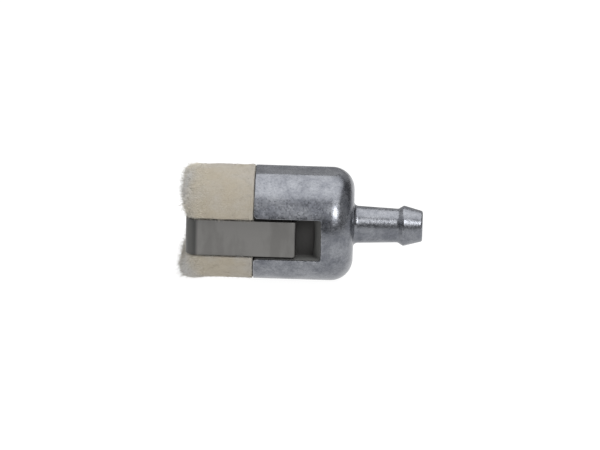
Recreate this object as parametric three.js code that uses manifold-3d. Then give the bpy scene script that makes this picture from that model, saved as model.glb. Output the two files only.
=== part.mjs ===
// Weighted pick-up filter for the fuel tank of a small two-stroke engine.
//
// A zinc die casting is the weight, the body and the hose nipple in one piece. A wool felt plug butts on
// its open mouth, and a U-shaped spring clip over the felt hooks its two leg tips into pockets in the
// casting's sides. Inside the mouth a pressed ring holds a wire screen on a ledge, over the fuel chamber.
//
// The filter lies on the lower of its two flats. +X runs along the axis towards the nipple, the clip's
// legs lie on the -Y and +Y sides, and +Z is up. Millimetres.

import * as THREE from "three";
import { mergeVertices } from "three/addons/utils/BufferGeometryUtils.js";
import Module from "manifold-3d";

const wasm = await Module();
wasm.setup();

// ---- driving dimensions: x is counted from the casting's rim, radii from the axis ----

// casting: body
const bodyRadius = 7.94;
const bodyLength = 14;
const shoulderRadius = 3.1;
const flatDistance = 7.75;

// casting: hose nipple
const flareRadius = 3.2;
const flareFillet = 0.6;
const neckTipRadius = 2.365;
const neckLength = 6.06;
const barbRadius = 2.835;
const barbRise = 0.77;
const nippleLength = 9.5;
const nippleTipRadius = 2.2;
const nippleTipRound = 0.3;
const boreRadius = 1.25;

// casting: inside
const seatRadius = 5.5;
const seatDepth = 1.8;
const chamberMouthRadius = 3.9;
const chamberEndRadius = 3.5;
const chamberEnd = 10.2;
const chamberConeEnd = 12.6;

// casting: clip slots
const slotHalfWidth = 3;
const slotFloor = 6.6;
const slotEnd = 9.43;
const pocketStart = 5.35;
const pocketFloor = 5;
const pocketFloorEnd = 8.3;
const pocketRampTop = 7.35;

// spring clip
const clipWidth = 5.1;
const clipThickness = 0.5;
const clipOuter = 7.22;
const clipBend = 1.3;
const clipReach = 9.37;
const clipTip = 6;
const hookBend = 0.6;
const hookDepth = 2;

// felt
const feltRadius = 8.05;
const feltUpperReach = 10.07;
const feltLowerReach = 10.8;
const feltCorner = 0.7;
const feltToRim = 0.05;
const feltToClip = 0.1;

// screen and its ring
const screenRadius = 5.35;
const screenThickness = 0.25;
const screenPitch = 1.1;
const screenHole = 0.7;
const screenEdge = 0.6;
const screenGap = 0.02;
const ringRadius = 5.45;
const ringHole = 4.6;
const ringStart = 0.4;
const ringLength = 1.1;
const ringChamfer = 0.15;

const roundSteps = 72;
const beyond = 12; // past any piece, for cutting tools

// ---- helpers ----

// Points of an arc in the (x, radius) plane, angles in degrees from +x.
function arc(x, r, radius, from, to, steps) {
  return Array.from({ length: steps + 1 }, (_, i) => {
    const angle = THREE.MathUtils.degToRad(from + ((to - from) * i) / steps);
    return [x + radius * Math.cos(angle), r + radius * Math.sin(angle)];
  });
}

// A profile of [x, radius] pairs, turned about the X axis.
function turned(profile, steps = roundSteps) {
  const points = profile.map(([x, r]) => new THREE.Vector2(Math.max(r, 0), x));
  return new THREE.LatheGeometry(points, steps).rotateZ(-Math.PI / 2);
}

// An outline in the XY plane, extruded equally to both sides of it along Z.
function slab(shape, width, curveSegments = 8) {
  const settings = { depth: width, bevelEnabled: false, curveSegments };
  return new THREE.ExtrudeGeometry(shape, settings).translate(0, 0, -width / 2);
}

function polygon(points) {
  return new THREE.Shape(points.map(([x, y]) => new THREE.Vector2(x, y)));
}

function solid(geometry) {
  const bare = geometry.clone();
  bare.deleteAttribute("normal");
  bare.deleteAttribute("uv");
  const merged = mergeVertices(bare, 1e-4);
  return new wasm.Manifold(
    new wasm.Mesh({
      numProp: 3,
      vertProperties: merged.attributes.position.array,
      triVerts: new Uint32Array(merged.index.array),
    }),
  );
}

// The first geometry less all the others.
function cut(geometry, ...tools) {
  const body = tools.reduce((rest, tool) => rest.subtract(solid(tool)), solid(geometry));
  const mesh = body.getMesh();
  const result = new THREE.BufferGeometry();
  result.setAttribute("position", new THREE.BufferAttribute(mesh.vertProperties, 3));
  result.setIndex(new THREE.BufferAttribute(mesh.triVerts, 1));
  result.computeVertexNormals();
  return result;
}

function piece(name, geometry, color, metalness, roughness) {
  const material = new THREE.MeshStandardMaterial({ color, metalness, roughness });
  const mesh = new THREE.Mesh(geometry, material);
  mesh.name = name;
  return mesh;
}

// ---- the casting ----

// From the mouth, over the outside, round the nipple's tip and back along the bore and the chamber.
function castingProfile() {
  const shoulder = bodyLength - shoulderRadius;
  const flareEnd = bodyLength + flareFillet;
  const barbStart = bodyLength + neckLength;
  const tip = bodyLength + nippleLength;
  return [
    [0, seatRadius],
    [0, bodyRadius],
    ...arc(shoulder, bodyRadius - shoulderRadius, shoulderRadius, 90, 0, 10),
    ...arc(flareEnd, flareRadius, flareFillet, 180, 270, 5),
    [barbStart, neckTipRadius],
    [barbStart + barbRise, barbRadius],
    ...arc(tip - nippleTipRound, nippleTipRadius - nippleTipRound, nippleTipRound, 90, 0, 4),
    [tip, boreRadius],
    [chamberConeEnd, boreRadius],
    [chamberEnd, chamberEndRadius],
    [seatDepth, chamberMouthRadius],
    [seatDepth, seatRadius],
    [0, seatRadius],
  ];
}

// Side view of a slot: a shallow floor under the clip's leg, then a deeper pocket with a ramped end.
function slotTool() {
  const outline = [
    [-1, beyond],
    [-1, slotFloor],
    [pocketStart, slotFloor],
    [pocketStart, pocketFloor],
    [pocketFloorEnd, pocketFloor],
    [slotEnd, pocketRampTop],
    [slotEnd, beyond],
  ];
  return slab(polygon(outline), 2 * slotHalfWidth);
}

function flatTool() {
  const size = 4 * beyond;
  return new THREE.BoxGeometry(size, size, beyond).translate(0, 0, flatDistance + beyond / 2);
}

function casting() {
  return cut(
    turned(castingProfile()),
    slotTool(),
    slotTool().rotateX(Math.PI),
    flatTool(),
    flatTool().rotateX(Math.PI),
  );
}

// ---- the clip ----

// The U of the strip seen from above. Each leg ends in a hook bent in towards the axis.
function clipOutline() {
  const inner = clipOuter - clipThickness;
  const bendX = clipBend - clipReach;
  const bendY = clipOuter - clipBend;
  const hookX = clipTip - hookBend;
  const hookY = clipOuter - hookBend;
  const hookEnd = clipOuter - hookDepth;
  const innerHook = hookBend - clipThickness;
  const innerBend = clipBend - clipThickness;
  const quarter = Math.PI / 2;
  const shape = new THREE.Shape();
  shape.moveTo(clipTip, hookEnd);
  shape.absarc(hookX, hookY, hookBend, 0, quarter, false);
  shape.absarc(bendX, bendY, clipBend, quarter, 2 * quarter, false);
  shape.absarc(bendX, -bendY, clipBend, 2 * quarter, 3 * quarter, false);
  shape.absarc(hookX, -hookY, hookBend, 3 * quarter, 4 * quarter, false);
  shape.lineTo(clipTip, -hookEnd);
  shape.lineTo(clipTip - clipThickness, -hookEnd);
  shape.absarc(hookX, -hookY, innerHook, 4 * quarter, 3 * quarter, true);
  shape.lineTo(bendX, -inner);
  shape.absarc(bendX, -bendY, innerBend, 3 * quarter, 2 * quarter, true);
  shape.absarc(bendX, bendY, innerBend, 2 * quarter, quarter, true);
  shape.absarc(hookX, hookY, innerHook, quarter, 0, true);
  shape.lineTo(clipTip - clipThickness, hookEnd);
  shape.closePath();
  return shape;
}

function clip() {
  return slab(clipOutline(), clipWidth, 6);
}

// ---- the felt ----

// All that lies outside the clip's inner face, so that the clip sits in a groove in the felt.
function grooveTool() {
  const inner = clipOuter - clipThickness - feltToClip;
  const bendX = clipBend - clipReach;
  const bendY = clipOuter - clipBend;
  const radius = clipBend - clipThickness - feltToClip;
  const quarter = Math.PI / 2;
  const tongue = new THREE.Shape();
  tongue.moveTo(beyond, -inner);
  tongue.lineTo(beyond, inner);
  tongue.absarc(bendX, bendY, radius, quarter, 2 * quarter, false);
  tongue.absarc(bendX, -bendY, radius, 2 * quarter, 3 * quarter, false);
  const band = new THREE.BoxGeometry(2 * beyond, 2 * beyond, clipWidth + 2 * feltToClip);
  return cut(band.translate(1 - beyond, 0, 0), slab(tongue, 2 * clipWidth));
}

// The felt's outer end is cut a little askew: the lower half reaches further than the upper.
function skew(geometry) {
  const position = geometry.attributes.position;
  const slope = (feltLowerReach - feltUpperReach) / (2 * feltRadius);
  for (let i = 0; i < position.count; i += 1) {
    const share = Math.max(0, -position.getX(i) / feltLowerReach);
    position.setX(i, position.getX(i) + share * slope * (position.getZ(i) + feltRadius));
  }
  return geometry;
}

function felt() {
  const cornerX = feltCorner - feltLowerReach;
  const profile = [
    [-feltLowerReach, 0],
    ...arc(cornerX, feltRadius - feltCorner, feltCorner, 180, 90, 4),
    [-feltToRim, feltRadius],
    [-feltToRim, 0],
  ];
  return cut(skew(turned(profile, 48)), grooveTool(), flatTool().rotateX(Math.PI));
}

// ---- the screen and its ring ----

function screen() {
  const disc = new THREE.CylinderGeometry(screenRadius, screenRadius, screenThickness, 48);
  const holes = [];
  const half = screenHole / 2;
  const reach = Math.floor(screenRadius / screenPitch);
  for (let row = -reach; row <= reach; row += 1) {
    for (let column = -reach; column <= reach; column += 1) {
      const y = column * screenPitch;
      const z = row * screenPitch;
      if (Math.hypot(Math.abs(y) + half, Math.abs(z) + half) > screenRadius - screenEdge) continue;
      holes.push(new THREE.BoxGeometry(1, screenHole, screenHole).translate(0, y, z));
    }
  }
  return cut(disc.rotateZ(-Math.PI / 2), ...holes);
}

function screenRing() {
  const end = ringStart + ringLength;
  return turned(
    [
      [ringStart, ringHole],
      [ringStart, ringRadius - ringChamfer],
      [ringStart + ringChamfer, ringRadius],
      [end - ringChamfer, ringRadius],
      [end, ringRadius - ringChamfer],
      [end, ringHole],
      [ringStart, ringHole],
    ],
    48,
  );
}

// ---- the assembly ----

const housing = piece("housing", casting(), 0x8b9098, 0.9, 0.42);
const feltElement = piece("felt_element", felt(), 0xe9e2cc, 0, 1);
const retainingClip = piece("retaining_clip", clip(), 0x8a8780, 0.9, 0.38);
const strainer = piece("strainer_screen", screen(), 0x9a9a94, 0.9, 0.35);
const retainingRing = piece("screen_ring", screenRing(), 0xa3a49f, 0.9, 0.3);

strainer.position.x = seatDepth - screenGap - screenThickness / 2;

const filter = new THREE.Group();
filter.name = "fuel_filter";
const placed = new THREE.Group();
placed.add(housing, feltElement, retainingClip, strainer, retainingRing);
filter.add(placed);

// The origin is the middle of the underside of the whole filter's box.
const box = new THREE.Box3().setFromObject(placed);
placed.position.set(-(box.min.x + box.max.x) / 2, 0, -box.min.z);

export default filter;
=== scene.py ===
# %% [markdown]
# # A fuel pick-up filter, rendered from its own frame
#
# The filter lies in the tank of a small two-stroke engine. A zinc casting is its weight and its hose
# nipple, a plug of wool felt keeps the dirt out, and a spring clip holds the felt on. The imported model
# gives every piece its place. This lesson gives each one its fine shape and its finish.

# %% Load the frame
import math

import bpy
import numpy as np
from mathutils import Matrix, Vector


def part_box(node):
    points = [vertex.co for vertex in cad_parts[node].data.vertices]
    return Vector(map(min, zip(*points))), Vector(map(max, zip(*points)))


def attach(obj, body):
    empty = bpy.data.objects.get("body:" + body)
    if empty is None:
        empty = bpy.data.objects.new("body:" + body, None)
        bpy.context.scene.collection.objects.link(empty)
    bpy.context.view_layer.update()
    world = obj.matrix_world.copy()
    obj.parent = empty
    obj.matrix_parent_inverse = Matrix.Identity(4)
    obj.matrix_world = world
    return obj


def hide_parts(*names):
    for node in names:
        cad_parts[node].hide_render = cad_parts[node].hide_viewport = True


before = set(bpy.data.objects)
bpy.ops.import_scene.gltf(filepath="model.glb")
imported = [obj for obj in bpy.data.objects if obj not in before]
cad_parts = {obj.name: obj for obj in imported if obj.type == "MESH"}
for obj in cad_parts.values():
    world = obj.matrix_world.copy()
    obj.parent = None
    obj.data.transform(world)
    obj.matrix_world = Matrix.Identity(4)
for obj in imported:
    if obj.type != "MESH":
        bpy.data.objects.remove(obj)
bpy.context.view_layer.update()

# %% [markdown]
# ## Measures
#
# Everything round in the filter turns about one axis along X, so it is easiest to draw in millimetres
# from the casting's rim, with the axis at zero. One function puts such points into the frame, which is
# in metres. The outer sizes are read off the frame, so they can't drift away from it.

# %% Places and sizes read off the frame
MM = 0.001
casting_low, casting_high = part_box("housing")
clip_low, clip_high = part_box("retaining_clip")
felt_low, felt_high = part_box("felt_element")
ring_low, ring_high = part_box("screen_ring")
screen_low, screen_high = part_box("strainer_screen")

rim = Vector((casting_low.x, 0, (casting_low.z + casting_high.z) / 2))
body_radius = casting_high.y / MM
flat_distance = (casting_high.z - rim.z) / MM
tip_x = (casting_high.x - rim.x) / MM
nipple_length, shoulder_inset = 9.5, 0.15
body_length = tip_x - nipple_length - shoulder_inset


def in_frame(points):
    """Points in millimetres from the rim's centre, as metres in the frame."""
    return np.asarray(points, float) * MM + np.array(rim)


print(f"body {2 * body_radius:.2f} mm across, {tip_x:.1f} mm from rim to tip")

# %% [markdown]
# ## Mesh helpers
#
# Turned parts start as a profile that is spun round the axis, and slots start as a side view that is
# given a width. Both are plain lists of faces.

# %% Helpers that make a shape from points


def mesh_object(name, points, faces):
    """A new object from points in millimetres and faces as lists of point numbers."""
    mesh = bpy.data.meshes.new(name)
    mesh.from_pydata([tuple(p) for p in in_frame(points)], [], [tuple(f) for f in faces])
    mesh.validate()
    mesh.update()
    thing = bpy.data.objects.new(name, mesh)
    bpy.context.scene.collection.objects.link(thing)
    return thing


def arc(x, r, radius, start, end, steps=12):
    """Points on an arc about (x, r), angles in degrees from +X."""
    angles = np.radians(np.linspace(start, end, steps + 1))
    return [(x + radius * math.cos(a), r + radius * math.sin(a)) for a in angles]


def turned(name, profile, steps=192):
    """Spins a closed loop of (x, radius) points round the axis."""
    loop = np.array(profile, float)
    angles = np.linspace(0, 2 * math.pi, steps, endpoint=False)
    x, r = loop[:, 0], loop[:, 1]
    rings = [np.column_stack([x, r * math.cos(a), r * math.sin(a)]) for a in angles]
    n = len(loop)
    faces = []
    for i in range(steps):
        here, there = i * n, (i + 1) % steps * n
        faces += [(here + k, here + (k + 1) % n, there + (k + 1) % n, there + k) for k in range(n)]
    return mesh_object(name, np.concatenate(rings), faces)


def slab(name, outline, low_z, high_z):
    """A prism on an outline of (x, y) points, from one height to another."""
    flat = [tuple(p) for p in outline]
    n = len(flat)
    points = [(x, y, low_z) for x, y in flat] + [(x, y, high_z) for x, y in flat]
    walls = [(i, (i + 1) % n, n + (i + 1) % n, n + i) for i in range(n)]
    return mesh_object(name, points, [list(range(n))[::-1], list(range(n, 2 * n)), *walls])


print("a quarter circle has", len(arc(0, 0, 1, 0, 90)), "points")

# %% [markdown]
# ## Modifier helpers
#
# Cutting one shape from another is Blender's Boolean modifier, and rounding every edge at once is Remesh
# followed by Smooth. Each piece is settled into a plain mesh after its modifiers, so that the next cut
# starts from what is really there.

# %% Helpers that change a shape


def modify(thing, kind, **settings):
    """Adds a modifier and sets it up."""
    modifier = thing.modifiers.new(kind.lower(), kind)
    for key, value in settings.items():
        setattr(modifier, key, value)
    return modifier


def settle(thing):
    """Turns what the modifiers make into the object's own mesh."""
    evaluated = thing.evaluated_get(bpy.context.evaluated_depsgraph_get())
    mesh = bpy.data.meshes.new_from_object(evaluated)
    thing.modifiers.clear()
    thing.data = mesh
    return thing


def carve(thing, *tools):
    """Cuts each tool away and throws the tool away after."""
    for tool in tools:
        modify(thing, "BOOLEAN", operation="DIFFERENCE", solver="EXACT", object=tool)
    settle(thing)
    for tool in tools:
        bpy.data.objects.remove(tool)
    return thing


def smooth_shaded(thing):
    thing.data.polygons.foreach_set("use_smooth", [True] * len(thing.data.polygons))
    return thing


print(len(bpy.types.Modifier.bl_rna.properties["type"].enum_items), "kinds of modifier to choose from")

# %% [markdown]
# ## Node helpers
#
# Colours are written as sRGB hex, the way a paint chart or a picture editor gives them. Shaders work in
# linear light, so one function converts them. Another adds a node with its settings and its links. Noise
# is scaled by the size of its lumps, which is easier to judge on a real surface than a texture's scale.

# %% Node helpers


def colour(code):
    """An sRGB hex colour as linear RGBA."""
    parts = [int(code[i : i + 2], 16) / 255 for i in (1, 3, 5)]
    return [c / 12.92 if c <= 0.04045 else ((c + 0.055) / 1.055) ** 2.4 for c in parts] + [1]


def feed(tree, node, inputs):
    """Gives a node its inputs, each as a plain value or as another node's output to link from."""
    for key, value in inputs.items():
        if isinstance(value, bpy.types.NodeSocket):
            tree.links.new(value, node.inputs[key])
        else:
            node.inputs[key].default_value = value


def add(tree, kind, inputs=None, output=None, **settings):
    """Adds a node with its settings and links, and returns the named output or the first one in use."""
    node = tree.nodes.new("ShaderNode" + kind)
    for key, value in settings.items():
        setattr(node, key, value)
    feed(tree, node, inputs or {})
    return node.outputs[output] if output else next(o for o in node.outputs if o.enabled)


def new_material(name):
    """An empty material with a Principled shader, as (material, its node tree, the shader)."""
    material = bpy.data.materials.new(name)
    material.use_nodes = True
    tree = material.node_tree
    return material, tree, tree.nodes["Principled BSDF"]


def per_lump(millimetres):
    """The Scale of a noise whose lumps are about that many millimetres across."""
    return 1 / (millimetres * MM)


print("mid grey #808080 in linear light:", round(colour("#808080")[0], 3))

# %% [markdown]
# ## Zinc die casting
#
# The body is pressure-cast zinc alloy, tumbled with stones to take the flash off and left bare. Tumbling
# leaves a satin skin of countless small dents, and the metal dulls to a blue grey. The eye sees a
# mottle a few tenths of a millimetre wide where a light is mirrored, and rubbed, paler edges. The
# mottle is bump and roughness noise. Where the edges are rubbed, and where the stones couldn't reach, are
# numbers stored on the mesh, which the material reads back by name. In the recesses the as-cast skin is
# left, a dull oxide, so the shader is less metallic there. Their floors and the chamber are painted near
# black: painted shade for the dark inside of the pockets.

# %% Zinc material


def tumbled_zinc():
    material, tree, shader = new_material("tumbled_zinc_casting")
    place = add(tree, "TexCoord", output="Object")
    dents = add(tree, "TexNoise", {"Vector": place, "Scale": per_lump(0.32), "Detail": 4, "Roughness": 0.65})
    patches = add(tree, "TexNoise", {"Vector": place, "Scale": per_lump(2.6), "Detail": 4, "Roughness": 0.6})
    chips = add(tree, "TexNoise", {"Vector": place, "Scale": per_lump(0.6), "Detail": 3, "Roughness": 0.55})
    waves = add(tree, "TexNoise", {"Vector": place, "Scale": per_lump(1.1), "Detail": 2, "Roughness": 0.55})

    in_dent = add(tree, "MapRange", {"Value": dents, "From Min": 0.35, "From Max": 0.65})
    dark_skin, pale_skin = colour("#797b80"), colour("#8f9196")
    skin = add(tree, "Mix", {"Factor": in_dent, "A": dark_skin, "B": pale_skin}, data_type="RGBA")
    in_patch = add(tree, "MapRange", {"Value": patches, "From Min": 0.38, "From Max": 0.6})
    stained, clean = colour("#d0d1d5"), colour("#ffffff")
    stain = add(tree, "Mix", {"Factor": in_patch, "A": stained, "B": clean}, data_type="RGBA")
    dulled = add(tree, "Mix", {"Factor": 1.0, "A": skin, "B": stain}, data_type="RGBA", blend_type="MULTIPLY")

    edge = add(tree, "Attribute", output="Fac", attribute_name="wear")
    in_chip = add(tree, "MapRange", {"Value": chips, "From Min": 0.42, "From Max": 0.6})
    chipped = add(tree, "Math", {0: edge, 1: in_chip}, operation="MULTIPLY", use_clamp=True)
    worn = add(tree, "Mix", {"Factor": chipped, "A": dulled, "B": colour("#c6c6ca")}, data_type="RGBA")
    deep = add(tree, "Attribute", output="Fac", attribute_name="recess")
    as_cast = add(tree, "Mix", {"Factor": deep, "A": worn, "B": colour("#7b7b78")}, data_type="RGBA")
    # Painted shade: the recess floors and the inside of the chamber are coloured near-black grey for the
    # shade they lie in.
    in_painted_shade = add(tree, "Attribute", output="Fac", attribute_name="painted_recess_shade")
    with_painted_shade = add(tree, "Mix", {"Factor": in_painted_shade, "A": as_cast, "B": colour("#3d3c3b")}, data_type="RGBA")

    satin_span = {"From Min": 0.3, "From Max": 0.7, "To Min": 0.22, "To Max": 0.38}
    satin = add(tree, "MapRange", {"Value": dents, **satin_span})
    dull = add(tree, "Math", {0: satin, 1: deep}, operation="MAXIMUM", use_clamp=True)
    metal = add(tree, "MapRange", {"Value": deep, "From Max": 0.8, "To Min": 1.0, "To Max": 0.1})
    wavy = add(tree, "Bump", {"Height": waves, "Distance": 0.022 * MM, "Strength": 0.8})
    bump = add(tree, "Bump", {"Height": dents, "Distance": 0.01 * MM, "Strength": 0.8, "Normal": wavy})
    feed(tree, shader, {"Base Color": with_painted_shade, "Roughness": dull, "Metallic": metal, "Normal": bump})
    return material


zinc = tumbled_zinc()
print("material:", zinc.name)

# %% [markdown]
# ## The casting
#
# On the real part the barbed nipple, the rounded shoulder and the body are one casting, with two flats
# and two slots. It could be modelled by hand with subdivision, but the slots meet a round wall, which
# makes awkward corners. Here the turned shape is cut with plain tools, then remeshed into small even
# voxels and smoothed. That rounds every edge a little, as a casting's edges are.

# %% Casting: driving sizes in millimetres
shoulder_radius = 3.1
flare_radius, flare_fillet = 3.2, 0.6
neck_tip_radius, neck_length = 2.365, 6.21
barb_radius, barb_rise = 2.835, 0.77
nipple_tip_radius, nipple_tip_round = 2.2, 0.3
bore_radius = 1.25
seat_radius, seat_depth = 5.5, 1.8
chamber_mouth_radius, chamber_end_radius = 3.9, 3.5
chamber_end, chamber_cone_end = 10.2, 12.6
slot_half_width, slot_floor, slot_end = 3.0, 6.6, 9.43
pocket_start, pocket_floor, pocket_floor_end, pocket_ramp_top = 5.35, 5.0, 8.3, 7.35
rim_corner = 0.55
far = 12
print(f"pocket {slot_end - pocket_start:.1f} mm long, {body_radius - pocket_floor:.1f} mm deep")

# %% Casting: profile and cutting tools


def casting_profile():
    """From the mouth over the outside to the nipple's tip, and back along the bore and the chamber."""
    shoulder = body_length - shoulder_radius
    barb_start = body_length + neck_length
    round_x, round_r = tip_x - nipple_tip_round, nipple_tip_radius - nipple_tip_round
    return [
        (0, seat_radius),
        (0, body_radius),
        *arc(shoulder, body_radius - shoulder_radius, shoulder_radius, 90, 0, 24),
        *arc(body_length + flare_fillet, flare_radius, flare_fillet, 180, 270, 10),
        (barb_start, neck_tip_radius),
        (barb_start + barb_rise, barb_radius),
        *arc(round_x, round_r, nipple_tip_round, 90, 0, 8),
        (tip_x, bore_radius),
        (chamber_cone_end, bore_radius),
        (chamber_end, chamber_end_radius),
        (seat_depth, chamber_mouth_radius),
        (seat_depth, seat_radius),
    ]


def slot_tool(side):
    """A slot's side view: a shallow floor under the clip's leg, then a pocket with a ramped end."""
    outline = [
        (-1, far),
        (-1, slot_floor),
        (pocket_start, slot_floor),
        (pocket_start, pocket_floor),
        (pocket_floor_end, pocket_floor),
        (slot_end, pocket_ramp_top),
        (slot_end, far),
    ]
    turned_over = [(x, side * y) for x, y in outline]
    return slab("slot_tool", turned_over[::side], -slot_half_width, slot_half_width)


def rim_corner_tool(side, up):
    """Rounds the corner where a slot's wall meets the rim, seen from the side as a quarter circle."""
    wall, r = slot_half_width, rim_corner
    curve = [(x, z - 0.001) for x, z in arc(r, wall + r, r, 270, 180, 8)]
    outline = [(-0.2, wall - 0.2), (r, wall - 0.2), *curve, (-0.2, wall + r)]
    tool = slab("rim_corner_tool", outline, slot_floor - 0.3, far)
    for vertex in tool.data.vertices:
        x, z, y = vertex.co - rim
        vertex.co = rim + Vector((x, side * y, up * z))
    if side * up > 0:
        tool.data.flip_normals()
    return tool


def flat_tool(side):
    """A block that takes off all that stands past a flat, above the axis or below it."""
    outline = [(-far, -far), (2 * far, -far), (2 * far, far), (-far, far)]
    low, high = sorted((side * flat_distance, side * far))
    return slab("flat_tool", outline, low, high)


print("profile of", len(casting_profile()), "points")

# %% Casting: turned, cut and rounded
casting = turned("cast_housing", casting_profile())
carve(casting, slot_tool(1), slot_tool(-1), flat_tool(1), flat_tool(-1))
carve(casting, *[rim_corner_tool(side, up) for side in (1, -1) for up in (1, -1)])
voxel = 0.1
modify(casting, "REMESH", mode="VOXEL", voxel_size=voxel * MM)
modify(casting, "SMOOTH", factor=0.5, iterations=3)
settle(casting)
print(f"casting: {len(casting.data.polygons)} faces of about {voxel} mm")

# %% [markdown]
# ## Wear and recesses
#
# The slots' edges and the rim are rounder than the rest, because the tumbling stones reach them best. So
# they are smoothed again, through a vertex group.
#
# An edge is a place that smoothing would move. So a copy of the casting is smoothed hard, and how far
# each point sinks tells how sharp it stood out: that is where tumbling rubbed it pale. The pockets and
# the chamber are found by their depth below the body's round side. They keep their grey cast skin. Their
# floors, their deepest parts and the chamber are painted much darker: painted shade for the dark inside.

# %% Helpers that read and mark a mesh


def vertex_places(thing):
    flat = np.empty(len(thing.data.vertices) * 3)
    thing.data.vertices.foreach_get("co", flat)
    return flat.reshape(-1, 3)


def vertex_normals(thing):
    flat = np.empty(len(thing.data.vertices) * 3, np.float32)
    thing.data.vertex_normals.foreach_get("vector", flat)
    return flat.reshape(-1, 3)


def smoothstep(values, low, high):
    share = np.clip((values - low) / (high - low), 0, 1)
    return share * share * (3 - 2 * share)


def store(thing, name, values):
    """Keeps one number for each vertex, under a name that a material can read."""
    thing.data.attributes.new(name, "FLOAT", "POINT").data.foreach_set("value", values.astype(np.float32))


def edge_wear(thing, sharp=0.045):
    """How far each vertex stands out from a smoothed copy, as 0 on even faces to 1 at sharp mm."""
    copy = thing.copy()
    copy.data = thing.data.copy()
    bpy.context.scene.collection.objects.link(copy)
    modify(copy, "SMOOTH", factor=0.5, iterations=14)
    settle(copy)
    stands_out = ((vertex_places(thing) - vertex_places(copy)) * vertex_normals(thing)).sum(axis=1)
    bpy.data.objects.remove(copy)
    return smoothstep(stands_out / MM, 0.3 * sharp, sharp)


def smooth_where(thing, chosen, iterations):
    """Smooths only the vertices for which chosen is true."""
    group = thing.vertex_groups.new(name="rounded")
    group.add(np.flatnonzero(chosen).tolist(), 1.0, "REPLACE")
    modify(thing, "SMOOTH", factor=0.5, iterations=iterations, vertex_group="rounded")
    settle(thing)


def from_rim(thing):
    """Each vertex as (x, y, z, distance from the axis), in millimetres from the rim's centre."""
    x, y, z = ((vertex_places(thing) - np.array(rim)) / MM).T
    return x, y, z, np.hypot(y, z)


print("the casting reaches", f"{from_rim(casting)[3].max():.2f} mm from its axis")

# %% Casting: rounder slot edges and rim
x, _, z, radius = from_rim(casting)
at_slot = (np.abs(z) < slot_half_width + 0.7) & (x < slot_end + 0.6)
at_rim = x < 0.5
smooth_where(casting, (at_slot | at_rim) & (radius > slot_floor + 0.3), 10)
smooth_shaded(casting)
print(f"{np.mean(at_slot | at_rim):.0%} of the vertices lie near a slot or the rim")

# %% Casting: wear and recess attributes
x, y, z, radius = from_rim(casting)
in_slot = (np.abs(z) < slot_half_width + 0.12) & (x < slot_end + 0.1)
in_chamber = (radius < seat_radius + 0.1) & (x > 0.1) & (x < body_length - 0.5)
in_bore = (radius < bore_radius + 0.05) & (x < tip_x - 1)
inside = in_chamber | in_bore
depth = np.sqrt(np.maximum(body_radius**2 - z**2, 0)) - np.abs(y)
recess = np.maximum(np.where(in_slot, smoothstep(depth, 0.12, 0.5), 0), inside)
# Painted shade: the recess floors, most where they face out of the slot, the deepest parts and the chamber
# are marked here for a dark colour.
faces_out = smoothstep(np.abs(vertex_normals(casting)[:, 1]), 0.1, 0.8)
far_in = 0.7 * smoothstep(depth, 0.4, 2.6)
store(casting, "wear", edge_wear(casting))
store(casting, "recess", 0.85 * recess)
store(casting, "painted_recess_shade", recess * np.maximum.reduce([faces_out, far_in, inside]))
casting.data.materials.append(zinc)
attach(casting, "casting")
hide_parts("housing")
print("wear and recess stored on", len(radius), "vertices")

# %% [markdown]
# ## Spring steel strip
#
# The clip is cold-rolled spring steel, left with its rolled finish: a dull warm grey with faint lines
# along the strip and stains from hardening. Long thin noise gives the lines, wide soft noise the stains.
# The bends are painted darker: painted shade for the dark band that the curved strip mirrors there.
# The strip carries a number that says how far into a bend each point is, and the material reads it by name.

# %% Spring steel material


def rolled_steel():
    material, tree, shader = new_material("rolled_spring_steel")
    place = add(tree, "TexCoord", output="Object")
    rolled = add(tree, "Mapping", {"Vector": place, "Scale": (0.12, 1, 3)})
    spread = add(tree, "Mapping", {"Vector": place, "Scale": (1, 1, 0.35)})
    lines = add(tree, "TexNoise", {"Vector": rolled, "Scale": per_lump(0.5), "Detail": 2, "Roughness": 0.55})
    stains = add(tree, "TexNoise", {"Vector": spread, "Scale": per_lump(2.2), "Detail": 4, "Roughness": 0.55})
    in_stain = add(tree, "MapRange", {"Value": stains, "From Min": 0.4, "From Max": 0.58})
    stained, clean = colour("#6f6e6c"), colour("#797876")
    plain = add(tree, "Mix", {"Factor": in_stain, "A": stained, "B": clean}, data_type="RGBA")
    # Painted shade: the strip is coloured darker round its bends.
    bend_shade = add(tree, "Attribute", output="Fac", attribute_name="bend")
    base = add(tree, "Mix", {"Factor": bend_shade, "A": plain, "B": colour("#4b4b4a")}, data_type="RGBA")
    dull_span = {"From Min": 0.3, "From Max": 0.7, "To Min": 0.38, "To Max": 0.42}
    dull = add(tree, "MapRange", {"Value": lines, **dull_span})
    bump = add(tree, "Bump", {"Height": lines, "Distance": 0.004 * MM, "Strength": 0.5})
    feed(tree, shader, {"Base Color": base, "Roughness": dull, "Metallic": 1, "Normal": bump})
    return material


spring_steel = rolled_steel()
print("material:", spring_steel.name)

# %% [markdown]
# ## The clip
#
# The clip is one strip, bent to a U over the felt, and each leg ends in a hook that drops into its
# pocket. The strip is swept: a rounded rectangle is carried along the U's centre line, always square to
# it. That gives true bends of even thickness, which a bent box would not.

# %% Clip: driving sizes
clip_thickness = 0.5
clip_half_width = (clip_high.z - clip_low.z) / MM / 2 + 0.05
clip_outer = clip_high.y / MM
clip_tip = (clip_high.x - rim.x) / MM
clip_reach = (rim.x - clip_low.x) / MM
clip_bend, hook_bend, hook_depth = 1.3, 0.6, 2.0
strip_edge = 0.09
tip_corner = 0.45
print(f"clip reaches from {clip_tip:.1f} mm behind the rim to {clip_reach:.1f} mm in front of it")

# %% Clip: centre line and section


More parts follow.
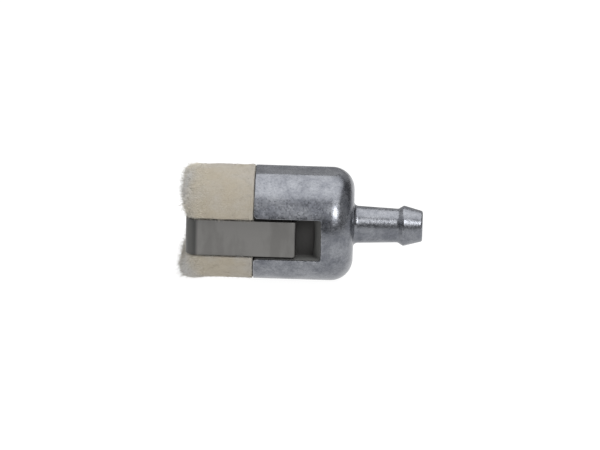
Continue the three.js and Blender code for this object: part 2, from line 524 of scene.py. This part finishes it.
def clip_centre_line():
    """Half of the U, from the hook's end to the middle of the bridge, as (x, y) points."""
    half = clip_thickness / 2
    hook = arc(clip_tip - hook_bend, clip_outer - hook_bend, hook_bend - half, 0, 90, 10)
    bend = arc(clip_bend - clip_reach, clip_outer - clip_bend, clip_bend - half, 90, 180, 14)
    hook_end = [(clip_tip - half, clip_outer - hook_depth)]
    leg = [(x, clip_outer - half) for x in np.linspace(hook[-1][0], bend[0][0], 30)[1:-1]]
    bridge = [(half - clip_reach, y) for y in np.linspace(bend[-1][1], 0, 12)[1:]]
    return hook_end + hook + leg + bend + bridge


def strip_section(half_width):
    """A rounded rectangle, as (across the thickness, across the width) points."""
    corner_t, corner_w = clip_thickness / 2 - strip_edge, half_width - strip_edge
    corners = [(1, 1, 0), (-1, 1, 90), (-1, -1, 180), (1, -1, 270)]
    return [p for t, w, a in corners for p in arc(t * corner_t, w * corner_w, strip_edge, a, a + 90, 4)]


def swept_strip(name, line, widths):
    """Carries the strip's section along the line, with a half width for each point."""
    line = np.array(line)
    along = np.gradient(line, axis=0)
    along /= np.linalg.norm(along, axis=1)[:, None]
    points = []
    for (x, y), (dx, dy), width in zip(line, along, widths):
        points += [(x + t * dy, y - t * dx, w) for t, w in strip_section(width)]
    n = len(strip_section(1))
    faces = []
    for i in range(len(line) - 1):
        here, there = i * n, (i + 1) * n
        faces += [(here + k, here + (k + 1) % n, there + (k + 1) % n, there + k) for k in range(n)]
    last = (len(line) - 1) * n
    faces += [list(range(n))[::-1], list(range(last, last + n))]
    return mesh_object(name, points, faces)


half_line = clip_centre_line()
clip_line = half_line + [(x, -y) for x, y in half_line[-2::-1]]
print("centre line of", len(clip_line), "points")

# %% Clip: swept strip


def leg_half_width(x):
    """The strip's corners are rounded off where a leg turns down into its hook."""
    short = max(0.0, x - (clip_tip - tip_corner)) / tip_corner
    return clip_half_width - tip_corner * (1 - math.sqrt(max(0.0, 1 - min(short, 1.0) ** 2)))


spring_clip = swept_strip("spring_clip", clip_line, [leg_half_width(x) for x, _ in clip_line])
strip_places = (vertex_places(spring_clip) - np.array(rim)) / MM
from_end = strip_places[:, 0] + clip_reach
# The bend number marks where the material paints shade round the bends.
in_bend = 1 - smoothstep(from_end, clip_bend + 0.1, clip_bend + 0.3)
store(spring_clip, "bend", in_bend * (0.75 + 0.25 * smoothstep(from_end, 0.6, clip_bend)))
smooth_shaded(spring_clip)
spring_clip.data.materials.append(spring_steel)
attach(spring_clip, "clip")
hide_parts("retaining_clip")
print(f"clip: strip {2 * clip_half_width:.1f} x {clip_thickness} mm")

# %% [markdown]
# ## Wool felt
#
# The felt is pressed wool, undyed, so it is cream with a little grey. Its cut sides are smooth and its
# outer end is fuzzy with loose fibres. Up close it is short fibres at all angles, a few hundredths of a
# millimetre thick; the pattern here is a few times coarser, so that it still shows. It stays faint: felt
# looks soft because light spreads among its fibres and fills their shadows.

# %% Felt material


def wool(name, low, high, sheen):
    """Wool in two close tones. The same recipe serves the pressed felt and the fibres that stand off it."""
    material, tree, shader = new_material(name)
    place = add(tree, "TexCoord", output="Object")
    combed = add(tree, "Mapping", {"Vector": place, "Scale": (1, 2.5, 0.7)})
    fibres = add(tree, "TexNoise", {"Vector": combed, "Scale": per_lump(0.16), "Detail": 4, "Roughness": 0.7})
    clouds = add(tree, "TexNoise", {"Vector": place, "Scale": per_lump(4.0), "Detail": 3, "Roughness": 0.55})
    on_fibre = add(tree, "MapRange", {"Value": fibres, "From Min": 0.35, "From Max": 0.65})
    base = add(tree, "Mix", {"Factor": on_fibre, "A": colour(low), "B": colour(high)}, data_type="RGBA")
    in_cloud = add(tree, "MapRange", {"Value": clouds, "From Min": 0.38, "From Max": 0.62})
    cream, white = colour("#fcf8ee"), colour("#ffffff")
    tint = add(tree, "Mix", {"Factor": in_cloud, "A": cream, "B": white}, data_type="RGBA")
    tinted = add(tree, "Mix", {"Factor": 1.0, "A": base, "B": tint}, data_type="RGBA", blend_type="MULTIPLY")
    bump = add(tree, "Bump", {"Height": fibres, "Distance": 0.045 * MM, "Strength": 0.6})
    feed(tree, shader, {"Base Color": tinted, "Roughness": 0.95, "Normal": bump})
    feed(tree, shader, {"Specular IOR Level": 0.1, "Sheen Weight": sheen, "Sheen Roughness": 0.6})
    return material


felt_wool = wool("pressed_wool_felt", "#9a948a", "#b0aba2", 0.1)
loose_wool = wool("loose_wool_fibre", "#dcdbd8", "#eeedeb", 0.0)
# Grey wool, for the stray fibres, the fuzz at the rim, and as painted shade for the fibres over the clip's
# edge.
grey_wool_and_shade = wool("grey_wool_fibre", "#a3a19d", "#c4c2be", 0.0)
print("materials:", felt_wool.name, loose_wool.name, grey_wool_and_shade.name)

# %% [markdown]
# ## The felt plug
#
# The plug is a cylinder whose outer end was cut a little askew. The clip squeezes a groove into it, so
# that two lobes stand out past the bridge. The turned shape is cut with a tool that follows the clip's
# inner face, remeshed, and smoothed more than the casting is, because felt has no sharp edges. Two
# layers of noise then push the surface in and out, the way pressed wool is uneven. Sculpting could do
# that too, but noise comes out the same in every run. The plug is made a little smaller than the felt
# really is, by the depth of the loose fibres that stand on it.

# %% Felt plug: driving sizes
side_pile, end_pile = 0.13, 0.85
felt_radius = (felt_high.z - rim.z) / MM - side_pile
felt_reach = (rim.x - felt_low.x) / MM - end_pile
felt_corner = 1.6
upper_reach = 9.55
pinched_reach = 8.85
end_droop = 0.22
felt_to_rim = 0.03
groove_gap = 0.03
print(f"felt: {2 * felt_radius:.1f} mm across, {felt_reach:.1f} mm long without its loose fibres")

# %% Felt plug: profile, groove and end


def felt_profile():
    """From the middle of the outer end to the rim, where the pressed felt bulges a little."""
    corner_x = felt_corner - felt_reach
    return [
        (-felt_reach, 0.001),
        *arc(corner_x, felt_radius - felt_corner, felt_corner, 180, 90, 8),
        (-0.5, felt_radius - 0.02),
        (-0.25, felt_radius + 0.06),
        (-felt_to_rim, felt_radius - 0.08),
        (-felt_to_rim, 0.001),
    ]


def groove_tools():
    """Two tools that leave only a tongue of felt inside the clip: the ends and the sides of the U."""
    inner = clip_outer - clip_thickness - groove_gap
    bend_x, bend_y = clip_bend - clip_reach, clip_outer - clip_bend
    radius = clip_bend - clip_thickness - groove_gap
    left = arc(bend_x, bend_y, radius, 90, 180, 8) + arc(bend_x, -bend_y, radius, 180, 270, 8)
    tongue = slab("tongue", [(far, -inner), (far, inner), *left], -far, far)
    band_half = clip_half_width + 0.2
    band = slab("band", [(-far * 1.5, -far), (1, -far), (1, far), (-far * 1.5, far)], -band_half, band_half)
    return carve(band, tongue)


def end_reach(height):
    """How far the felt's outer end reaches at a height above the axis, in millimetres."""
    from_strip = np.maximum(np.abs(height) - clip_half_width, 0)
    upper = pinched_reach + (upper_reach - pinched_reach) * smoothstep(from_strip, 0.0, 1.8)
    lower = pinched_reach + (felt_reach - pinched_reach) * smoothstep(from_strip, -0.4, 4.4)
    return np.where(height > 0, upper, lower)


def shape_the_end(thing):
    """Draws the outer half of the plug in or out, so that its end follows end_reach."""
    places = (vertex_places(thing) - np.array(rim)) / MM
    half = felt_reach / 2
    past_half = np.maximum(-places[:, 0] - half, 0) / (felt_reach - half)
    places[:, 0] += past_half * (felt_reach - end_reach(places[:, 2]))
    places[:, 2] -= past_half * end_droop
    thing.data.vertices.foreach_set("co", in_frame(places).ravel())
    thing.data.update()


print("the end's reach at five heights:", np.round(end_reach(np.array([-7, -3, 0, 3, 7])), 2))

# %% Felt plug: turned, shaped and pushed by noise
felt = turned("felt_plug", felt_profile(), steps=128)
modify(felt, "REMESH", mode="VOXEL", voxel_size=0.2 * MM)
settle(felt)
shape_the_end(felt)
carve(felt, groove_tools(), flat_tool(-1))
modify(felt, "REMESH", mode="VOXEL", voxel_size=0.15 * MM)
modify(felt, "SMOOTH", factor=0.5, iterations=6)
settle(felt)


def pushed_by_noise(thing, size, strength):
    """Pushes the surface in and out by noise with lumps of that size, both in millimetres."""
    texture = bpy.data.textures.new("lumps", "CLOUDS")
    texture.noise_scale = size * MM
    modify(thing, "DISPLACE", texture=texture, strength=strength * MM, mid_level=0.5)


def kept_above_table(thing):
    """Flattens whatever would hang below the table's surface."""
    places = vertex_places(thing)
    places[:, 2] = np.maximum(places[:, 2], 0.01 * MM)
    thing.data.vertices.foreach_set("co", places.ravel())
    thing.data.update()


pushed_by_noise(felt, 2.5, 0.1)
pushed_by_noise(felt, 0.5, 0.05)
settle(felt)
kept_above_table(felt)
smooth_shaded(felt)
felt.data.materials.append(felt_wool)
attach(felt, "felt")
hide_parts("felt_element")
print(f"felt: {len(felt.data.polygons)} faces")

# %% [markdown]
# ## Loose fibres
#
# The fuzz at the felt's outer end is what tells the eye that this is felt, and bump can't show it,
# because it breaks the outline. Blender's own hair could, but it isn't a mesh, and each piece here has to
# be one. So thousands of fibres stand on the surface, each a thin three-sided tube with a bend in it.
# They stand close together on the outer end, and are few and flat on the sides.

# %% Fibres: where they stand, and their shape
rng = np.random.default_rng(7)


def faces_of(thing):
    """The centre, the normal and the area of each face."""
    polygons = thing.data.polygons
    n = len(polygons)
    centres, normals, areas = np.empty(n * 3), np.empty(n * 3), np.empty(n)
    polygons.foreach_get("center", centres)
    polygons.foreach_get("normal", normals)
    polygons.foreach_get("area", areas)
    return centres.reshape(-1, 3), normals.reshape(-1, 3), areas


def surface_samples(thing, count, weight):
    """Random points and normals on an object, with a weight for each face from its centre and normal."""
    centres, normals, areas = faces_of(thing)
    chance = areas * weight(centres, normals)
    picked = rng.choice(len(areas), size=count, p=chance / chance.sum())
    jitter = rng.normal(size=(count, 3)) * 0.05 * MM
    return centres[picked] + jitter, normals[picked]


def unit(vectors):
    return vectors / np.linalg.norm(vectors, axis=1)[:, None]


def fibre_mesh(name, roots, normals, lengths, thickness, lift):
    """Bent three-sided tubes from the roots, leaning away from the normals by less for more lift."""
    count = len(roots)
    sideways = unit(np.cross(normals, rng.normal(size=(count, 3))))
    first = unit(normals * lift[:, None] + sideways)
    second = unit(first + 0.9 * unit(rng.normal(size=(count, 3))))
    middle = roots + first * (lengths / 2)[:, None]
    ends = middle + second * (lengths / 2)[:, None]
    starts = roots - normals * 0.06 * MM
    across = unit(np.cross(first, normals + 0.01))
    up = np.cross(first, across)
    corners = []
    for centre, share in ((starts, 1.0), (middle, 0.8), (ends, 0.25)):
        for turn in range(3):
            angle = 2 * math.pi * turn / 3
            arm = across * math.cos(angle) + up * math.sin(angle)
            corners.append(centre + arm * thickness * share / 2)
    points = np.stack(corners, axis=1).reshape(-1, 3)
    tube = []
    for r in (0, 3):
        tube += [(r + k, r + (k + 1) % 3, r + 3 + (k + 1) % 3, r + 3 + k) for k in range(3)]
    faces = (np.arange(count)[:, None, None] * 9 + np.array(tube)[None]).reshape(-1, 4)
    mesh = bpy.data.meshes.new(name)
    mesh.from_pydata(points.tolist(), [], faces.tolist())
    mesh.update()
    thing = bpy.data.objects.new(name, mesh)
    bpy.context.scene.collection.objects.link(thing)
    return thing


print(f"the felt has {faces_of(felt)[2].sum() / MM**2:.0f} square millimetres to stand on")

# %% [markdown]
# ## Where the fibres stand
#
# Each layer of fuzz has a weight, a function that says for every face of the felt how likely a fibre is
# to stand on it. It is given the faces' centres and normals, so a layer can follow a place, such as the
# line along the clip, or a direction, such as all that faces outwards.

# %% Fibres: weights and directions


def away_from_clip(centres):
    """True where the clip doesn't lie on the felt."""
    return np.abs(centres[:, 2] - rim.z) > (clip_half_width + 0.1) * MM


def end_weight(centres, normals):
    return smoothstep(-normals[:, 0], 0.3, 0.8) * away_from_clip(centres)


def near_end_weight(centres, normals):
    """On the sides, thinning out over the last three millimetres before the end."""
    off_rim = (rim.x - centres[:, 0]) / MM
    on_side = smoothstep(-normals[:, 0], -0.5, -0.1) * (1 - smoothstep(-normals[:, 0], 0.3, 0.8))
    return smoothstep(off_rim, pinched_reach - 2.8, pinched_reach) * on_side * away_from_clip(centres)


def side_weight(centres, normals):
    outer = np.hypot(centres[:, 1], centres[:, 2] - rim.z) > (felt_radius - 0.5) * MM
    near_rim = centres[:, 0] > rim.x - 0.5 * MM
    return outer * away_from_clip(centres) * ~near_rim * (centres[:, 2] > 0.4 * MM)


def near_rim_weight(centres, normals):
    """On the sides, in the last millimetre before the casting."""
    off_rim = (rim.x - centres[:, 0]) / MM
    outer = np.hypot(centres[:, 1], centres[:, 2] - rim.z) > (felt_radius - 0.5) * MM
    return outer * away_from_clip(centres) * (1 - smoothstep(off_rim, 0.2, 1.2))


def beside_clip_weight(centres, normals):
    """The two thin lines of felt along each leg, and round the bend, where the clip's edge bites."""
    off_edge = np.abs(np.abs(centres[:, 2] - rim.z) / MM - clip_half_width - 0.2) < 0.15
    return off_edge * (np.hypot(centres[:, 1], centres[:, 2] - rim.z) > (clip_outer - 0.6) * MM)


def outwards(roots, normals):
    return 0.12 * normals - np.array((1, 0, 0))


def over_the_clip(roots, normals):
    return normals * 0.5 - np.sign(roots[:, 2] - rim.z)[:, None] * np.array((0, 0, 1))


centres, normals, areas = faces_of(felt)
for weight in (end_weight, near_end_weight, side_weight, near_rim_weight, beside_clip_weight):
    share = areas[weight(centres, normals) > 0].sum() / areas.sum()
    print(f"{weight.__name__}: {share:.0%} of the felt")

# %% Fibres: layers of fuzz


def fuzz(name, material, count, weight, shortest, longest, thickness, lift, towards=None):
    """Fibres on the felt. Towards, where given, turns roots and normals into the way the fibres stand."""
    roots, normals = surface_samples(felt, count, weight)
    stands = normals if towards is None else unit(towards(roots, normals))
    lengths = rng.uniform(shortest, longest, count) * MM
    thing = fibre_mesh(name, roots, stands, lengths, thickness * MM, rng.uniform(*lift, count))
    kept_above_table(thing)
    smooth_shaded(thing)
    thing.data.materials.append(material)
    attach(thing, "felt")
    return thing


all_fuzz = [
    fuzz("felt_end_fuzz", loose_wool, 8000, end_weight, 0.3, 0.9, 0.036, (0.3, 1.6), outwards),
    fuzz("felt_near_end_fuzz", loose_wool, 9000, near_end_weight, 0.2, 0.5, 0.018, (1.0, 4), outwards),
    fuzz("felt_stray_fibres", grey_wool_and_shade, 700, end_weight, 0.8, 1.6, 0.045, (0.8, 2.5), outwards),
    fuzz("felt_side_fuzz", felt_wool, 4000, side_weight, 0.2, 0.5, 0.022, (0.02, 0.15)),
    fuzz("felt_rim_fuzz", grey_wool_and_shade, 1500, near_rim_weight, 0.2, 0.45, 0.022, (0.02, 0.3)),
    # These fibres are grey wool, darker than the felt: painted shade for the dark gap along the strip's edge.
    fuzz("felt_clip_fuzz", grey_wool_and_shade, 800, beside_clip_weight, 0.25, 0.6, 0.04, (0.6, 2), over_the_clip),
]
print("fibres:", sum(len(thing.data.polygons) for thing in all_fuzz) // 6)

# %% [markdown]
# ## Screen and ring
#
# The casting's mouth is hidden behind the felt, so what is in it is a guess: a disc of woven wire that
# keeps loose fibres out of the fuel line, and a pressed ring that holds it on its ledge. The wire is
# drawn steel. Being pulled through a die leaves it smooth and bright, so each wire carries a thin
# highlight. A bump pattern would look flat here, because one can see between the wires, so they really
# go over and under each other. Each is a sine wave along its length, and its neighbours are half a wave
# out of step. A real screen is finer than this one.

# %% Bright wire and ring material


def drawn_steel():
    material, tree, shader = new_material("drawn_steel_wire")
    place = add(tree, "TexCoord", output="Object")
    dulling = add(tree, "TexNoise", {"Vector": place, "Scale": per_lump(0.4), "Detail": 2, "Roughness": 0.55})
    dark, bright = colour("#8c8c89"), colour("#b0b0ac")
    base = add(tree, "Mix", {"Factor": dulling, "A": dark, "B": bright}, data_type="RGBA")
    satin = add(tree, "MapRange", {"Value": dulling, "To Min": 0.25, "To Max": 0.4})
    feed(tree, shader, {"Base Color": base, "Roughness": satin, "Metallic": 1})
    return material


wire_steel = drawn_steel()
print("material:", wire_steel.name)

# %% Woven screen
screen_radius = (screen_high.y - screen_low.y) / 2 / MM
screen_x = (screen_low.x + screen_high.x) / 2 - rim.x
wire, pitch = 0.11, 0.42
outermost_gap, wire_end_gap = 0.3, 0.1
count = int((screen_radius - outermost_gap) / pitch)


def wire_points(offset, phase):
    """One wire's centre line, crimped over and under the wires that cross it."""
    half = math.sqrt(screen_radius**2 - offset**2) - wire_end_gap
    steps = max(4, round(2 * half / pitch * 6))
    along = np.linspace(-half, half, steps)
    crimp = wire / 2 * np.cos(math.pi * along / pitch + phase)
    return along, crimp


def woven_screen():
    points, faces = [], []
    for upright in (0, 1):
        for row in range(-count, count + 1):
            offset = row * pitch
            phase = math.pi * (row % 2 + upright)
            along, crimp = wire_points(offset, phase)
            for a, c in zip(along, crimp):
                for k in range(6):
                    turn = math.pi * k / 3
                    side, lift = wire / 2 * math.cos(turn), wire / 2 * math.sin(turn)
                    y, z = (a, offset + side) if upright else (offset + side, a)
                    points.append((screen_x / MM + c + lift, y, z))
            start = len(points) - 6 * len(along)
            for i in range(len(along) - 1):
                here, there = start + 6 * i, start + 6 * i + 6
                faces += [(here + k, here + (k + 1) % 6, there + (k + 1) % 6, there + k) for k in range(6)]
    return mesh_object("woven_screen", points, faces)


screen = woven_screen()
print(f"screen: {2 * (2 * count + 1)} wires")

# %% Pressed ring
ring_x = [(v - rim.x) / MM for v in (ring_low.x, ring_high.x)]
ring_radius = (ring_high.y - ring_low.y) / 2 / MM
ring_hole, lip = 4.6, 0.22
ring = turned(
    "pressed_ring",
    [
        *arc(ring_x[0] + lip, ring_radius - lip, lip, 180, 90, 6),
        *arc(ring_x[1] - lip, ring_radius - lip, lip, 90, 0, 6),
        *arc(ring_x[1] - lip, ring_hole + lip, lip, 0, -90, 6),
        *arc(ring_x[0] + lip, ring_hole + lip, lip, -90, -180, 6),
    ],
    steps=128,
)
for thing, node_name, slot_name in (
    (screen, "strainer_screen", "screen_wire"),
    (ring, "screen_ring", "ring_steel"),
):
    smooth_shaded(thing)
    thing.data.materials.append(wire_steel)
    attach(thing, "casting")
    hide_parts(node_name)
print(f"ring: {2 * ring_radius:.1f} mm across")

# %% [markdown]
# ## Table and lights
#
# Bare metal looks like what it mirrors, so the lights are placed for their reflections. The filter lies
# on a light table, which lights its underside and leaves no shadow. A wide soft box above and a little
# behind gives the long pale band on the upper side. A smaller one at the front right gives the
# highlights on the shoulder and the barb. Weak ones in front, behind and at the sides fill what is left,
# and the dim room makes the dark band between them and the table.

# %% Light table


def light_table():
    """Milky plastic lit from below: it glows, and takes almost no shadow."""
    material, tree, shader = new_material("lit_opal_plastic")
    place = add(tree, "TexCoord", output="Object")
    fine = add(tree, "TexNoise", {"Vector": place, "Scale": per_lump(0.8), "Detail": 2, "Roughness": 0.55})
    dark, pale = colour("#585858"), colour("#5c5c5c")
    base = add(tree, "Mix", {"Factor": fine, "A": dark, "B": pale}, data_type="RGBA")
    feed(tree, shader, {"Base Color": base, "Roughness": 0.8, "Specular IOR Level": 0.2})
    feed(tree, shader, {"Emission Color": colour("#ffffff"), "Emission Strength": 0.96})
    return material


table_half = 1500
corners = [(x * table_half, y * table_half, 0) for x, y in ((-1, -1), (1, -1), (1, 1), (-1, 1))]
floor = mesh_object("floor", corners, [(0, 1, 2, 3)])
# These points were taken from the axis, and the table's top is at zero.
for vertex in floor.data.vertices:
    vertex.co.z = 0
floor.data.materials.append(light_table())
print("stage:", floor.name)

# %% Lights


def direction(azimuth, elevation):
    """A unit vector towards a place seen from the filter: azimuth 0 is the front, and grows to the right."""
    a, e = math.radians(azimuth), math.radians(elevation)
    return Vector((math.sin(a) * math.cos(e), -math.cos(a) * math.cos(e), math.sin(e)))


def lamp(name, azimuth, elevation, distance, width, depth, radiance, target=rim):
    """A rectangular lamp that faces the filter. Its power follows from its area and its radiance."""
    light = bpy.data.lights.new(name, "AREA")
    light.shape, light.size, light.size_y = "RECTANGLE", width, depth
    light.energy = radiance * math.pi * width * depth
    thing = bpy.data.objects.new(name, light)
    thing.location = target + direction(azimuth, elevation) * distance
    thing.rotation_euler = (target - thing.location).to_track_quat("-Z", "Y").to_euler()
    bpy.context.scene.collection.objects.link(thing)
    return thing


lamp("overhead_softbox", 180, 78, 0.5, 0.8, 0.68, 1.9)
lamp("front_right_softbox", 28, 39, 0.6, 0.2, 0.22, 10)
lamp("front_fill", 0, 50, 0.6, 0.7, 0.44, 0.45)
lamp("back_fill", 180, 22, 0.6, 0.8, 0.3, 0.5)
lamp("right_fill", 90, 25, 0.6, 0.5, 0.4, 0.3)
lamp("left_fill", -90, 25, 0.6, 0.5, 0.4, 1.1)
world = bpy.data.worlds.new("dim_grey_room")
world.use_nodes = True
background = world.node_tree.nodes["Background"]
background.inputs["Color"].default_value = colour("#6a6a6c")
background.inputs["Strength"].default_value = 1.0
bpy.context.scene.world = world

# %% [markdown]
# ## Camera
#
# Small things are shown from well back through a long lens, which keeps their sides parallel. The lens
# follows from the distance and from how much should fit across the view. The camera looks down on the
# filter by about twenty degrees, and is rolled a little, so that the filter slopes down to the right.

# %% Camera
camera_distance, view_width = 0.9, 0.0839
camera_azimuth, camera_elevation, camera_roll = 1.0, 20.5, 1.45
aim_below_axis = 0.38
camera = bpy.data.cameras.new("camera")
camera.lens = camera.sensor_width * camera_distance / view_width
camera.clip_start = 0.05
viewer = bpy.data.objects.new("camera", camera)
towards = direction(camera_azimuth, camera_elevation)
aim = Vector((0, 0, rim.z)) - Vector((0, 0, aim_below_axis * MM))
viewer.location = aim + towards * camera_distance
facing = (-towards).to_track_quat("-Z", "Y").to_matrix().to_4x4()
roll = Matrix.Rotation(math.radians(camera_roll), 4, "Z")
viewer.matrix_world = Matrix.Translation(viewer.location) @ facing @ roll
bpy.context.scene.collection.objects.link(viewer)
bpy.context.scene.camera = viewer
bpy.context.scene.view_settings.view_transform = "Standard"
print("lens:", round(camera.lens), "mm")
